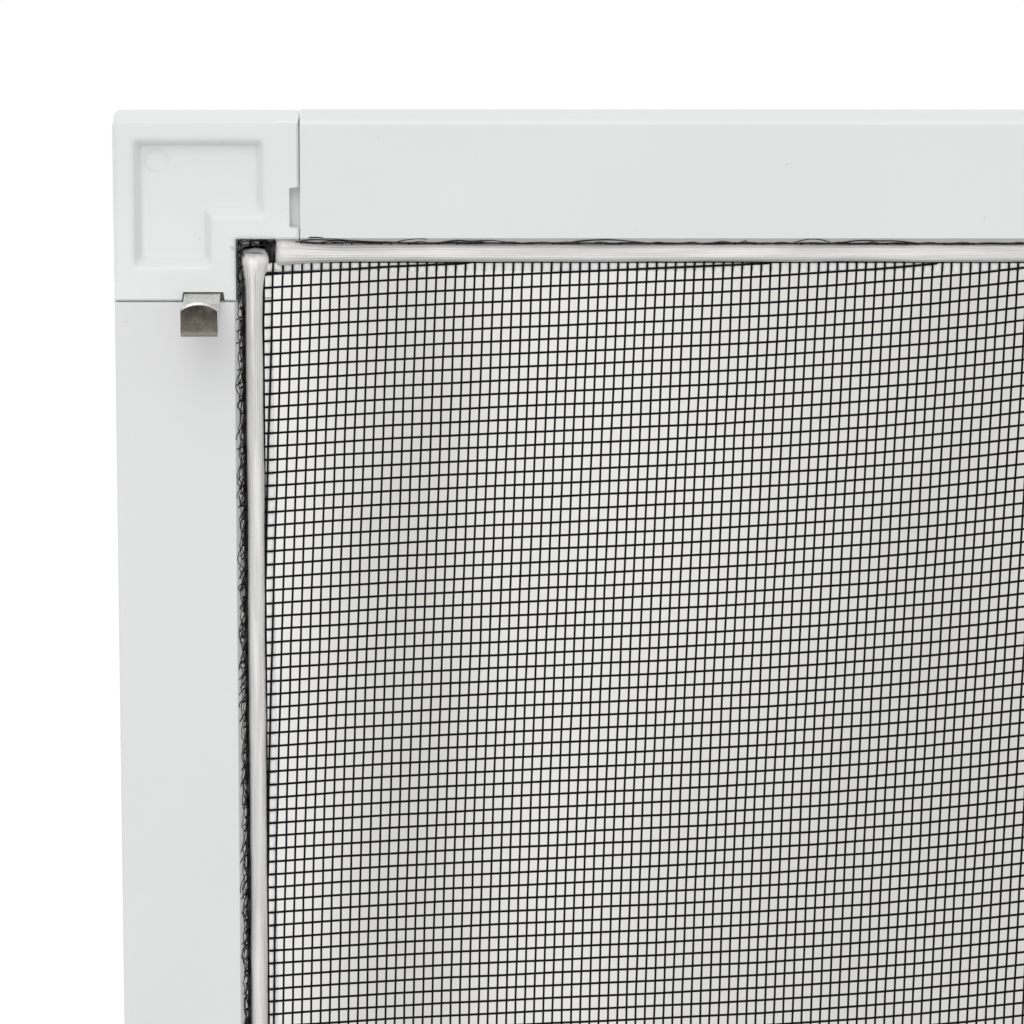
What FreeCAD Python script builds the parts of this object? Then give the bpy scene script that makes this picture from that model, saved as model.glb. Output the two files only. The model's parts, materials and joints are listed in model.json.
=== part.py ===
import FreeCAD, Part

import math
import os

import Sketcher

# Driving dimensions in millimetres (counts and angles as noted). The screen stands upright: x runs to
# the right, z up, and the side with the spline and hooks faces -y. The origin is the middle of the
# bottom edge, half way through the depth.
SIZES = [
    ("frame_width", 800, "outer width of the whole screen"),
    ("frame_height", 1000, "outer height of the whole screen"),
    ("frame_depth", 8, "depth of profiles and corners, front face to back face"),
    ("face_width", 17.75, "flat front face of a profile"),
    ("wall_thickness", 1.1, "wall of the hollow profile"),
    ("edge_radius", 0.7, "outer front edge of a profile"),
    ("back_radius", 0.5, "outer back edge of a profile"),
    ("lead_in_width", 1.1, "slope from the face into the groove, across"),
    ("lead_in_depth", 1.6, "slope from the face into the groove, down"),
    ("groove_width", 3.3, "clear width of the spline groove"),
    ("groove_floor", 1.0, "thickness of the groove's floor"),
    ("lip_width", 1.2, "thickness of the inner lip"),
    ("lip_drop", 2.2, "top of the inner lip below the front face"),
    ("spline_width", 2.55, "ribbed spline across the groove"),
    ("spline_height", 3.7, "ribbed spline down the groove"),
    ("spline_rib", 0.09, "depth of the flutes between the ribs"),
    ("spline_end_gap", 1.7, "from a side spline to the end of the next one"),
    ("mesh_thickness", 0.3, "thickness of the woven mesh"),
    ("mesh_bar", 2.2, "width of one bar of the coarse lattice"),
    ("mesh_ridge", 0.9, "width of the ridge along a bar"),
    ("mesh_relief", 0.12, "height of the ridge along a bar"),
    ("mesh_columns", 10, "gaps across, a count"),
    ("mesh_rows", 12, "gaps down, a count"),
    ("corner_size", 27.4, "outer edge of a corner piece"),
    ("corner_step", 0.25, "how far a corner's arm is wider than a profile's face"),
    ("corner_radius", 1.0, "rounding of the corner's outer back edges and its outer upright edge"),
    ("corner_edge", 0.35, "bevel of the corner's front edges"),
    ("seam_gap", 0.2, "gap between a corner and a profile's end"),
    ("plug_length", 27, "how far a corner's plug enters a profile"),
    ("plug_clearance", 0.1, "play between the plug and the profile"),
    ("plug_taper", 1.2, "chamfer at the plug's tip"),
    ("plug_skin", 1.4, "wall left round the hollows in a plug"),
    ("recess_margin", 3.0, "from the outer edge to the recess"),
    ("recess_length", 19.25, "long side of the L-shaped recess"),
    ("recess_arm", 11.5, "width of an arm of the recess"),
    ("recess_depth", 1.8, "depth of the recess"),
    ("recess_draft", 28, "slope of the recess walls, degrees"),
    ("recess_corner", 0.7, "rounding of the recess's upright corners"),
    ("recess_round", 0.4, "rounding of the recess's rim"),
    ("mark_diameter", 3.5, "ejector pin mark in the recess"),
    ("mark_place", 6.4, "middle of the pin mark from the outer edges"),
    ("mark_depth", 0.14, "depth of the pin mark"),
    ("slot_start", 10.2, "from the outer edge to a hook slot"),
    ("slot_width", 5.95, "width of a hook slot at its inner end"),
    ("slot_flare", 0.22, "how far a hook slot widens to each side at the seam"),
    ("slot_height", 1.4, "height of a hook slot above the seam"),
    ("slot_depth", 2.2, "depth of a hook slot"),
    ("hook_width", 5.4, "width of the hook's strip"),
    ("hook_thickness", 0.8, "thickness of the hook's strip"),
    ("hook_reach", 14, "front face to the outside of the tab"),
    ("hook_drop", 2.65, "how far the web sinks over that reach"),
    ("hook_tab", 5.55, "height of the tab with its bend"),
    ("hook_leg", 8, "leg behind the profile's front wall"),
    ("hook_bow", 0.9, "height of the arc at the tab's tip"),
    ("hook_bevel", 0.4, "bevel along the front of that arc"),
    ("hook_inset", 0.1, "from the outer side of the slot to the hook"),
    ("hook_seat", 0.2, "from the end of the slot to the hook's web"),
    ("hook_inner_bend", 0.35, "inside radius of the hook's bends"),
    ("hook_play", 0.15, "play between the hook's leg and the profile's wall"),
]


class Size:
    """A number together with the sheet expression that gives it."""

    def __init__(self, value, text):
        self.value = value
        self.text = text

    def __add__(self, other):
        other = sized(other)
        return Size(self.value + other.value, f"({self.text} + {other.text})")

    def __sub__(self, other):
        other = sized(other)
        return Size(self.value - other.value, f"({self.text} - {other.text})")

    def __rsub__(self, other):
        return sized(other) - self

    def __mul__(self, other):
        other = sized(other)
        return Size(self.value * other.value, f"({self.text} * {other.text})")

    def __truediv__(self, other):
        other = sized(other)
        return Size(self.value / other.value, f"({self.text} / {other.text})")

    def __neg__(self):
        return Size(-self.value, f"(0 - {self.text})")

    __radd__ = __add__
    __rmul__ = __mul__

    def root(self):
        return Size(math.sqrt(self.value), f"sqrt({self.text})")


def sized(number):
    return number if isinstance(number, Size) else Size(float(number), f"{float(number):.9f}")


doc = FreeCAD.newDocument("window_screen")
sheet = doc.addObject("Spreadsheet::Sheet", "sheet")
for row, (alias, number, note) in enumerate(SIZES, 1):
    sheet.set(f"A{row}", alias)
    sheet.set(f"B{row}", str(number))
    sheet.setAlias(f"B{row}", alias)
    sheet.set(f"C{row}", note)
doc.recompute()
size = {alias: Size(float(sheet.get(alias)), f"sheet.{alias}") for alias, _, _ in SIZES}

# Sizes that follow from the driving ones. Widths run inward from an outer edge, depths back from the
# front face.
ZERO = sized(0)
groove_outer = size["face_width"] + size["lead_in_width"]
groove_inner = groove_outer + size["groove_width"]
section_width = groove_inner + size["lip_width"]
spline_top = size["lip_drop"] - 1.25
groove_bottom = spline_top + size["spline_height"] + size["mesh_thickness"] + 0.05
groove_back = groove_bottom + size["groove_floor"]
corner_arm = size["face_width"] + size["corner_step"]
profile_start = size["corner_size"] + size["seam_gap"]
half_depth = size["frame_depth"] / 2
half_width = size["frame_width"] / 2


def new_body(label):
    body = doc.addObject("PartDesign::Body", label)
    body.Label = label
    return body


def place(body, base, turns):
    """Puts a body at base in the row's frame, after its quarter turns about an axis."""
    turn = FreeCAD.Rotation()
    for axis, degrees in turns:
        turn = FreeCAD.Rotation(FreeCAD.Vector(*axis), degrees).multiply(turn)
    body.Placement = FreeCAD.Placement(FreeCAD.Vector(*[b.value for b in base]), turn)
    for letter, amount in zip("xyz", base):
        body.setExpression(f".Placement.Base.{letter}", amount.text)


def new_sketch(body, name, offset=ZERO, role="XY_Plane"):
    sketch = body.newObject("Sketcher::SketchObject", f"{body.Name}_{name}")
    plane = next(o for o in body.Origin.OriginFeatures if o.Role == role)
    sketch.AttachmentSupport = [(plane, "")]
    sketch.MapMode = "FlatFace"
    sketch.AttachmentOffset = FreeCAD.Placement(FreeCAD.Vector(0, 0, offset.value), FreeCAD.Rotation())
    sketch.setExpression(".AttachmentOffset.Base.z", offset.text)
    return sketch


def pin(sketch, geometry, end, point):
    """Holds one point of a sketch at sizes from the sketch's origin."""
    for kind, amount, axis in (("DistanceX", point[0], -2), ("DistanceY", point[1], -1)):
        if amount is ZERO:
            sketch.addConstraint(Sketcher.Constraint("PointOnObject", geometry, end, axis))
        else:
            index = sketch.addConstraint(
                Sketcher.Constraint(kind, -1, 1, geometry, end, amount.value)
            )
            sketch.setExpression(f"Constraints[{index}]", amount.text)


def flat(point):
    return FreeCAD.Vector(point[0].value, point[1].value, 0)


def polygon(sketch, points):
    first = sketch.GeometryCount
    ids = list(range(first, first + len(points)))
    for here, there in zip(points, points[1:] + points[:1]):
        sketch.addGeometry(Part.LineSegment(flat(here), flat(there)))
    for here, there in zip(ids, ids[1:] + ids[:1]):
        sketch.addConstraint(Sketcher.Constraint("Coincident", here, 2, there, 1))
    for line, point in zip(ids, points):
        pin(sketch, line, 1, point)


def rectangle(sketch, left, low, right, high):
    polygon(sketch, [(left, low), (right, low), (right, high), (left, high)])


def ell(sketch, near, arm, far):
    """An L about the corner's diagonal, from near to far, with arms of that inner edge."""
    polygon(sketch, [(near, near), (far, near), (far, arm), (arm, arm), (arm, far), (near, far)])


def circle(sketch, centre, diameter):
    index = sketch.addGeometry(Part.Circle(flat(centre), FreeCAD.Vector(0, 0, 1), diameter.value / 2))
    pin(sketch, index, 3, centre)
    number = sketch.addConstraint(Sketcher.Constraint("Diameter", index, diameter.value))
    sketch.setExpression(f"Constraints[{number}]", diameter.text)


def pad(body, sketch, length):
    feature = body.newObject("PartDesign::Pad", f"{sketch.Name}_pad")
    feature.Profile = sketch
    feature.Length = length.value
    feature.setExpression("Length", length.text)
    sketch.Visibility = False
    return feature


def pocket(body, sketch, length=None, forward=True, slope=None):
    """Cuts towards the back if forward, by that length or right through."""
    feature = body.newObject("PartDesign::Pocket", f"{sketch.Name}_cut")
    feature.Profile = sketch
    feature.Reversed = forward
    if length is None:
        feature.Type = "ThroughAll"
    else:
        feature.Length = length.value
        feature.setExpression("Length", length.text)
    if slope is not None:
        feature.TaperAngle = -slope.value
        feature.setExpression("TaperAngle", (-slope).text)
    sketch.Visibility = False
    return feature


def edges_of(feature, wanted, steep=False):
    """Names of the edges whose end points all pass the test, not those that lie in one level if steep."""
    doc.recompute()
    names = []
    for number, edge in enumerate(feature.Shape.Edges, 1):
        points = [v.Point for v in edge.Vertexes]
        if len(points) == 2 and all(wanted(point) for point in points):
            if not steep or abs(points[0].z - points[1].z) > 1e-3:
                names.append(f"Edge{number}")
    if not names:
        raise RuntimeError(f"{feature.Name}: no edge to round")
    return names


def dress(body, kind, name, wanted, amount, steep=False):
    """Adds a fillet or a chamfer to the tip's edges that pass the test."""
    base = body.Tip
    names = edges_of(base, wanted, steep)
    feature = body.newObject(f"PartDesign::{kind}", f"{body.Name}_{name}")
    feature.Base = (base, names)
    key = "Radius" if kind == "Fillet" else "Size"
    setattr(feature, key, amount.value)
    feature.setExpression(key, amount.text)
    return feature


def near(a, b):
    return abs(a - b.value) < 1e-4


def make_profile(label, length, base, turn):
    """Hollow extrusion: sketch x inward from the outer edge, sketch y back from the front face."""
    body = new_body(label)
    sketch = new_sketch(body, "section")
    depth = size["frame_depth"]
    wall = size["wall_thickness"]
    face = size["face_width"]
    polygon(
        sketch,
        [
            (ZERO, ZERO),
            (face, ZERO),
            (groove_outer, size["lead_in_depth"]),
            (groove_outer, groove_bottom),
            (groove_inner, groove_bottom),
            (groove_inner, size["lip_drop"]),
            (section_width, size["lip_drop"]),
            (section_width, groove_back),
            (groove_outer, groove_back),
            (groove_outer, depth),
            (ZERO, depth),
        ],
    )
    rectangle(sketch, wall, wall, groove_outer - wall, depth - wall)
    pad(body, sketch, length)
    dress(body, "Fillet", "front_edge", lambda p: near(p.x, ZERO) and near(p.y, ZERO), size["edge_radius"])
    dress(body, "Fillet", "back_edge", lambda p: near(p.x, ZERO) and near(p.y, depth), size["back_radius"])
    place(body, base, [((0, 1, 0), turn)])
    return body


def make_corner(label, base, turn):
    """Moulded corner: sketch x and y run inward from its two outer edges, z goes back."""
    body = new_body(label)
    depth = size["frame_depth"]
    edge = size["corner_size"]
    wall = size["wall_thickness"]
    play = size["plug_clearance"]

    shell = new_sketch(body, "shell")
    ell(shell, ZERO, corner_arm, edge)
    pad(body, shell, depth)
    rail = new_sketch(body, "rail", size["lip_drop"])
    ell(rail, wall, section_width, edge)
    pad(body, rail, groove_back - size["lip_drop"])
    groove = new_sketch(body, "groove", size["lip_drop"])
    ell(groove, corner_arm, groove_inner, edge)
    pocket(body, groove, groove_bottom - size["lip_drop"])

    # Rounded and bevelled edges of the block, before the plugs hide its end faces
    on_outer = lambda p: near(p.x, ZERO) or near(p.y, ZERO)
    on_upright = lambda p: near(p.x, ZERO) and near(p.y, ZERO)
    dress(
        body,
        "Fillet",
        "outer_round",
        lambda p: on_upright(p) or near(p.z, depth) and on_outer(p),
        size["corner_radius"],
    )
    dress(body, "Chamfer", "front_bevel", lambda p: near(p.z, ZERO), size["corner_edge"])

    # L-shaped recess with sloping walls, a pin mark on its floor
    recess = new_sketch(body, "recess")
    start = size["recess_margin"]
    ell(recess, start, start + size["recess_arm"], start + size["recess_length"])
    pocket(body, recess, size["recess_depth"], slope=size["recess_draft"])
    inside = lambda c: start.value - 0.01 < c < (start + size["recess_length"]).value + 0.01
    in_recess = lambda p: inside(p.x) and inside(p.y) and p.z < size["recess_depth"].value + 0.01
    dress(body, "Fillet", "recess_corners", in_recess, size["recess_corner"], steep=True)
    dress(
        body,
        "Fillet",
        "recess_rim",
        lambda p: near(p.z, ZERO) and inside(p.x) and inside(p.y),
        size["recess_round"],
    )
    mark = new_sketch(body, "mark", size["recess_depth"])
    circle(mark, (size["mark_place"], size["mark_place"]), size["mark_diameter"])
    pocket(body, mark, size["mark_depth"])

    # Plugs that enter the two profiles, hollowed from the back
    low = wall + play
    high = groove_outer - wall - play
    tip = edge + size["plug_length"]
    root = edge - 1
    plugs = new_sketch(body, "plugs", low)
    rectangle(plugs, root, low, tip, high)
    rectangle(plugs, low, root, high, tip)
    pad(body, plugs, depth - low - low)
    tip_edge = lambda p: near(p.x, tip) or near(p.y, tip)
    dress(body, "Chamfer", "plug_tips", tip_edge, size["plug_taper"])
    skin = size["plug_skin"]
    hollows = new_sketch(body, "hollows", depth)
    first = edge + skin
    bay = (size["plug_length"] - size["plug_taper"] - skin * 3) / 2
    for index in range(2):
        near_end = first + (bay + skin) * index
        rectangle(hollows, near_end, low + skin, near_end + bay, high - skin)
        rectangle(hollows, low + skin, near_end, high - skin, near_end + bay)
    floor = size["slot_depth"] + skin
    pocket(body, hollows, depth - floor, forward=False)

    # Hook slots through the front at both seams, with the seat of the hook's leg in the plug
    slots = new_sketch(body, "slots")
    mouth = edge - size["slot_height"]
    end = profile_start + size["hook_leg"] + 0.4
    stop = size["slot_start"] + size["slot_width"]
    flare = size["slot_flare"]
    opening = [(mouth, size["slot_start"])]
    opening += [(edge, size["slot_start"] - flare), (end, size["slot_start"] - flare)]
    opening += [(end, stop + flare), (edge, stop + flare), (mouth, stop)]
    polygon(slots, opening)
    polygon(slots, [(y, x) for x, y in opening])
    pocket(body, slots, size["slot_depth"])
    place(body, base, [((1, 0, 0), -90), ((0, 1, 0), turn)])
    return body


def make_spline(label, length, base, turn):
    """Ribbed bead: an oval whose outline steps in and out between ribs."""
    body = new_body(label)
    sketch = new_sketch(body, "section")
    ribs = 12
    points = []
    for index in range(2 * ribs):
        angle = math.pi * (index + 0.5) / ribs
        shrink = size["spline_rib"] if index % 2 else ZERO
        across = (size["spline_width"] / 2 - shrink) * math.cos(angle) / math.cos(math.pi / 2 / ribs)
        down = (size["spline_height"] / 2 - shrink) * math.sin(angle)
        points.append((across, down))
    polygon(sketch, points)
    pad(body, sketch, length)
    place(body, base, [((0, 1, 0), turn)])
    return body


def make_hook(label, base, turn):
    """Bent strip: sketch x back from the tab's front, sketch y down from the frame's outer edge."""
    body = new_body(label)
    reach = size["hook_reach"]
    thick = size["hook_thickness"]
    slope = size["hook_drop"] / reach
    lean = (slope * slope + 1).root()
    seat = size["corner_size"] - size["slot_height"] + size["hook_seat"]
    leg_front = size["wall_thickness"] + size["hook_play"]
    leg_back = leg_front + thick
    leg_end = profile_start + size["hook_leg"]
    upper = lambda v: seat - slope * v
    lower = lambda v: upper(v) + thick * lean
    tip = lower(-reach) - size["hook_tab"]
    side = new_sketch(body, "side")
    polygon(
        side,
        [
            (reach + leg_back, leg_end),
            (reach + leg_back, upper(ZERO)),
            (reach, upper(ZERO)),
            (thick, upper(thick - reach)),
            (thick, tip),
            (ZERO, tip),
            (ZERO, lower(-reach)),
            (reach, lower(ZERO)),
            (reach + leg_front, lower(ZERO)),
            (reach + leg_front, leg_end),
        ],
    )
    pad(body, side, size["hook_width"])
    outer = size["hook_inner_bend"] + thick
    corner_at = lambda x, y: lambda p: near(p.x, x) and near(p.y, y)
    dress(body, "Fillet", "root_outer", corner_at(reach + leg_back, upper(ZERO)), outer)
    dress(body, "Fillet", "tab_outer", corner_at(ZERO, lower(-reach)), outer)
    dress(body, "Fillet", "tab_inner", corner_at(thick, upper(thick - reach)), size["hook_inner_bend"])
    dress(
        body,
        "Fillet",
        "root_inner",
        corner_at(reach + leg_front, lower(ZERO)),
        size["hook_inner_bend"],
    )

    # The tab's tip is an arc across the strip
    width = size["hook_width"]
    bow = size["hook_bow"]
    radius = (width * width / 4 + bow * bow) / (bow * 2)
    cut = new_sketch(body, "tip", role="YZ_Plane")
    ends = [(tip + bow, ZERO), (tip + bow, width)]
    centre = FreeCAD.Vector(tip.value + radius.value, width.value / 2, 0)
    spread = math.asin(width.value / 2 / radius.value)
    round_tip = Part.Circle(centre, FreeCAD.Vector(0, 0, 1), radius.value)
    arc = cut.addGeometry(Part.ArcOfCircle(round_tip, math.pi - spread, math.pi + spread))
    pin(cut, arc, 1, ends[1])
    pin(cut, arc, 2, ends[0])
    number = cut.addConstraint(Sketcher.Constraint("Radius", arc, radius.value))
    cut.setExpression(f"Constraints[{number}]", radius.text)
    beyond = [(tip - 1, ZERO), (tip - 1, width)]
    path = [ends[0], beyond[0], beyond[1], ends[1]]
    lines = [cut.addGeometry(Part.LineSegment(flat(p), flat(q))) for p, q in zip(path, path[1:])]
    cut.addConstraint(Sketcher.Constraint("Coincident", arc, 2, lines[0], 1))
    cut.addConstraint(Sketcher.Constraint("Coincident", lines[0], 2, lines[1], 1))
    cut.addConstraint(Sketcher.Constraint("Coincident", lines[1], 2, lines[2], 1))
    cut.addConstraint(Sketcher.Constraint("Coincident", lines[2], 2, arc, 1))
    pin(cut, lines[1], 1, beyond[0])
    pin(cut, lines[1], 2, beyond[1])
    pocket(body, cut)
    on_arc = lambda p: near(p.x, ZERO) and p.y < (tip + bow).value + 0.01
    dress(body, "Chamfer", "tip_bevel", on_arc, size["hook_bevel"])
    place(body, base, [((0, 0, 1), 90), ((0, 1, 0), -90), ((0, 1, 0), turn)])
    return body


def ring(sketch, outer, inner):
    """Two rectangles that follow the frame at those distances from its outer edge."""
    for margin in (outer, inner):
        rectangle(sketch, margin, margin, size["frame_width"] - margin, size["frame_height"] - margin)


def repeat(body, feature, sketch, axis, length, count):
    pattern = body.newObject("PartDesign::LinearPattern", f"{feature.Name}_row")
    pattern.Originals = [feature]
    pattern.Direction = (sketch, [axis])
    pattern.Length = length.value
    pattern.setExpression("Length", length.text)
    pattern.Occurrences = int(count.value)
    pattern.setExpression("Occurrences", count.text)
    body.Tip = pattern
    return pattern


def make_mesh(label, base):
    """One stretched sheet: a coarse lattice over the lips, its edge folded down round the groove."""
    body = new_body(label)
    thick = size["mesh_thickness"]
    top = size["lip_drop"] - thick
    bar = size["mesh_bar"]
    columns = size["mesh_columns"]
    rows = size["mesh_rows"]
    across = size["frame_width"] - section_width * 2
    down = size["frame_height"] - section_width * 2
    pitch_x = (across - bar) / columns
    pitch_y = (down - bar) / rows

    field = new_sketch(body, "field", top)
    margin = groove_inner - thick
    rectangle(field, margin, margin, size["frame_width"] - margin, size["frame_height"] - margin)
    pad(body, field, thick)
    for name, outer, inner, start in (
        ("fold_in", groove_inner - thick, groove_inner, top),
        ("fold_floor", groove_outer, groove_inner, groove_bottom - thick),
        ("fold_out", groove_outer, groove_outer + thick, size["lead_in_depth"] + 0.15),
    ):
        fold = new_sketch(body, name, start)
        ring(fold, outer, inner)
        pad(body, fold, groove_bottom - start)

    # Gaps, one column repeated across
    gaps = new_sketch(body, "gaps", top)
    left = section_width + bar
    for index in range(int(rows.value)):
        low = left + pitch_y * index
        rectangle(gaps, left, low, left + pitch_x - bar, low + pitch_y - bar)
    cut = pocket(body, gaps, thick)
    repeat(body, cut, gaps, "H_Axis", pitch_x * (columns - 1), columns)

    # Ridges: the upright threads stand out at the front, the level ones at the back
    ridge = size["mesh_ridge"]
    relief = size["mesh_relief"]
    inset = (bar - ridge) / 2
    upright = new_sketch(body, "upright", top - relief)
    place_x = left - bar + inset + pitch_x
    rectangle(upright, place_x, section_width, place_x + ridge, section_width + down)
    threads = pad(body, upright, relief + thick / 2)
    repeat(body, threads, upright, "H_Axis", pitch_x * (columns - 2), columns - 1)
    level = new_sketch(body, "level", top + thick / 2)
    place_y = left - bar + inset + pitch_y
    rectangle(level, section_width, place_y, section_width + across, place_y + ridge)
    threads = pad(body, level, relief + thick / 2)
    repeat(body, threads, level, "V_Axis", pitch_y * (rows - 2), rows - 1)
    place(body, base, [((1, 0, 0), -90)])
    return body


# Assembly: name, place and quarter turn of every piece
front = -half_depth
tall = size["frame_height"]
upright_length = tall - profile_start * 2
level_length = size["frame_width"] - profile_start * 2
pieces = [
    make_profile("left_profile", upright_length, (-half_width, front, profile_start), 0),
    make_profile("top_profile", level_length, (profile_start - half_width, front, tall), 90),
    make_profile("right_profile", upright_length, (half_width, front, tall - profile_start), 180),
    make_profile("bottom_profile", level_length, (half_width - profile_start, front, ZERO), 270),
    make_corner("corner_top_left", (-half_width, front, tall), 0),
    make_corner("corner_top_right", (half_width, front, tall), 90),
    make_corner("corner_bottom_right", (half_width, front, ZERO), 180),
    make_corner("corner_bottom_left", (-half_width, front, ZERO), 270),
]

# Splines lie against the lip; the side ones run the whole groove and the others end short of them
spline_centre = groove_inner - size["mesh_thickness"] - 0.05 - size["spline_width"] / 2
spline_level = front + spline_top + size["spline_height"] / 2
side_start = groove_outer + size["mesh_thickness"] + 0.2
side_length = tall - side_start * 2
short_start = groove_inner + size["spline_end_gap"] - 0.35
short_length = size["frame_width"] - short_start * 2
pieces += [
    make_spline("spline_left", side_length, (spline_centre - half_width, spline_level, side_start), 0),
    make_spline("spline_top", short_length, (short_start - half_width, spline_level, tall - spline_centre), 90),
    make_spline("spline_right", side_length, (half_width - spline_centre, spline_level, tall - side_start), 180),
    make_spline("spline_bottom", short_length, (half_width - short_start, spline_level, spline_centre), 270),
    make_mesh("insect_mesh", (-half_width, front, tall)),
]

hook_half = size["hook_width"] / 2
hook_centre = half_width - size["slot_start"] - size["hook_inset"] - hook_half
hook_front = front - size["hook_reach"]
pieces += [
    make_hook("hook_top_left", (hook_half - hook_centre, hook_front, tall), 0),
    make_hook("hook_top_right", (hook_centre + hook_half, hook_front, tall), 0),
    make_hook("hook_bottom_right", (hook_centre - hook_half, hook_front, ZERO), 180),
    make_hook("hook_bottom_left", (-hook_centre - hook_half, hook_front, ZERO), 180),
]

doc.recompute()
for item in doc.Objects:
    if "Invalid" in item.State or "Error" in item.State:
        raise RuntimeError(f"{item.Name} failed: {item.State}")
os.makedirs("parts", exist_ok=True)
for piece in pieces:
    shape = piece.Shape
    if shape.isNull() or not shape.isValid() or len(shape.Solids) != 1:
        raise RuntimeError(f"{piece.Label}: not one valid solid")
    shape.exportStep(f"parts/{piece.Label}.step")
    box = shape.BoundBox
    print(piece.Label, round(shape.Volume, 1), [round(v, 2) for v in (box.XMin, box.YMin, box.ZMin)],
          [round(v, 2) for v in (box.XMax, box.YMax, box.ZMax)])
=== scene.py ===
import json
import math
from collections import namedtuple

import bpy
import numpy as np
from mathutils import Matrix, Vector

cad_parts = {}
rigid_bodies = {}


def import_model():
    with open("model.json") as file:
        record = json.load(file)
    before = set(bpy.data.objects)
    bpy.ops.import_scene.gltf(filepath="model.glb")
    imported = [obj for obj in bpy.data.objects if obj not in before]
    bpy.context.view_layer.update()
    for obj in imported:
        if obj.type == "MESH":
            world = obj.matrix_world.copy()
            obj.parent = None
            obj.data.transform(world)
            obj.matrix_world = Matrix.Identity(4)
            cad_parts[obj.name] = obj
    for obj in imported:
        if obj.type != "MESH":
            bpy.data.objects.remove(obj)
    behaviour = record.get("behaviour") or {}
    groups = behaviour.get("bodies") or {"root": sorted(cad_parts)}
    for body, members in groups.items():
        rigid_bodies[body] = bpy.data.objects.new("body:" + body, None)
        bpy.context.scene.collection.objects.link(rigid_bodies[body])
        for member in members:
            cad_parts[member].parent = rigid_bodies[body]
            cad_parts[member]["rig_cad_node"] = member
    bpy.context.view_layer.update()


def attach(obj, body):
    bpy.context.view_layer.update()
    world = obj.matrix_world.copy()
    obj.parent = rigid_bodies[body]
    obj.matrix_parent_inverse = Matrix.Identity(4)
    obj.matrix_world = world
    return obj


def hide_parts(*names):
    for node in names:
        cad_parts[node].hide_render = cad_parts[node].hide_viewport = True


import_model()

bl_info = {
    "name": "Window Insect Screen",
    "version": (1, 0, 0),
    "blender": (4, 5, 0),
    "location": "View3D > Sidebar > Insect Screen",
    "description": "Dresses the packed insect screen: woven mesh, pressed-in splines, finishes and stage",
    "category": "Object",
}

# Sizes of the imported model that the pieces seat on, in metres. Places are given as (a, b, v): a inward
# from the outer left edge, b down from the outer top edge, v back from the front face.
WIDTH = 0.8
HEIGHT = 1.0
DEPTH = 0.008
FACE_EDGE = 0.01775
GROOVE_OUTER = 0.01885
GROOVE_INNER = 0.02215
SPLINE_ENDS = 0.0201
SPLINE_SHORT_ENDS = 0.0238
CORNER_ARM = 0.018

# The brightest that any part of a painted colour gets
BRIGHTEST = 0.95

PROFILES = ("left_profile", "top_profile", "right_profile", "bottom_profile")
CORNERS = ("corner_top_left", "corner_top_right", "corner_bottom_right", "corner_bottom_left")
HOOKS = ("hook_top_left", "hook_top_right", "hook_bottom_right", "hook_bottom_left")

# How the threads of the stretched sheet wander, in thread counts, by powers of the place across and down
SHEET_CENTRE = (0.09, 0.09)
SHEET_SPAN = 0.06
WANDER_LIMITS = ((-1.3, 1.12), (-1.3, 1.25))
WARP_WANDER = {
    (0, 0): 1.277, (0, 1): 1.469, (0, 2): -0.188, (0, 3): -0.137,
    (1, 0): 0.026, (1, 1): 0.096, (1, 2): 0.02, (2, 0): 0.106, (3, 0): -0.051,
}
WEFT_WANDER = {
    (0, 0): 1.47, (0, 1): -0.089, (0, 2): -0.094,
    (1, 0): 1.647, (1, 1): 0.046, (1, 2): -0.038, (2, 0): 0.7, (2, 1): -0.028, (3, 0): 0.629,
}


def row_points(places):
    """Places (a, b, v) as points in the row's frame."""
    places = np.asarray(places, float)
    out = np.empty_like(places)
    out[..., 0] = places[..., 0] - WIDTH / 2
    out[..., 1] = places[..., 2] - DEPTH / 2
    out[..., 2] = HEIGHT - places[..., 1]
    return out


class ScreenMeshSettings(bpy.types.PropertyGroup):
    warp_pitch: bpy.props.FloatProperty(
        name="Warp pitch", description="Distance between upright threads", default=0.001411, unit="LENGTH"
    )
    weft_pitch: bpy.props.FloatProperty(
        name="Weft pitch", description="Distance between level threads", default=0.00203, unit="LENGTH"
    )
    thread: bpy.props.FloatProperty(
        name="Thread", description="Diameter of one coated thread", default=0.000315, unit="LENGTH"
    )
    close_up: bpy.props.FloatProperty(
        name="Close-up", description="Reach from the top left corner that gets finer threads",
        default=0.165, unit="LENGTH"
    )
    seed: bpy.props.IntProperty(name="Seed", description="Seed of the threads' small wander", default=4)


class ScreenSplineSettings(bpy.types.PropertyGroup):
    width: bpy.props.FloatProperty(
        name="Width", description="Width of the pressed-in spline", default=0.00262, unit="LENGTH"
    )
    height: bpy.props.FloatProperty(
        name="Height", description="Height of the pressed-in spline", default=0.0037, unit="LENGTH"
    )
    ribs: bpy.props.IntProperty(name="Ribs", description="Ribs around the spline", default=22)
    rib_depth: bpy.props.FloatProperty(
        name="Rib depth", description="Depth of the flutes between ribs", default=0.00016, unit="LENGTH"
    )
    bulge: bpy.props.FloatProperty(
        name="Bulge", description="Widening of a cut end, as a share of the width", default=0.72
    )
    close_up: bpy.props.FloatProperty(
        name="Close-up", description="Reach from the top left corner that gets finer rings",
        default=0.16, unit="LENGTH"
    )


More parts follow.
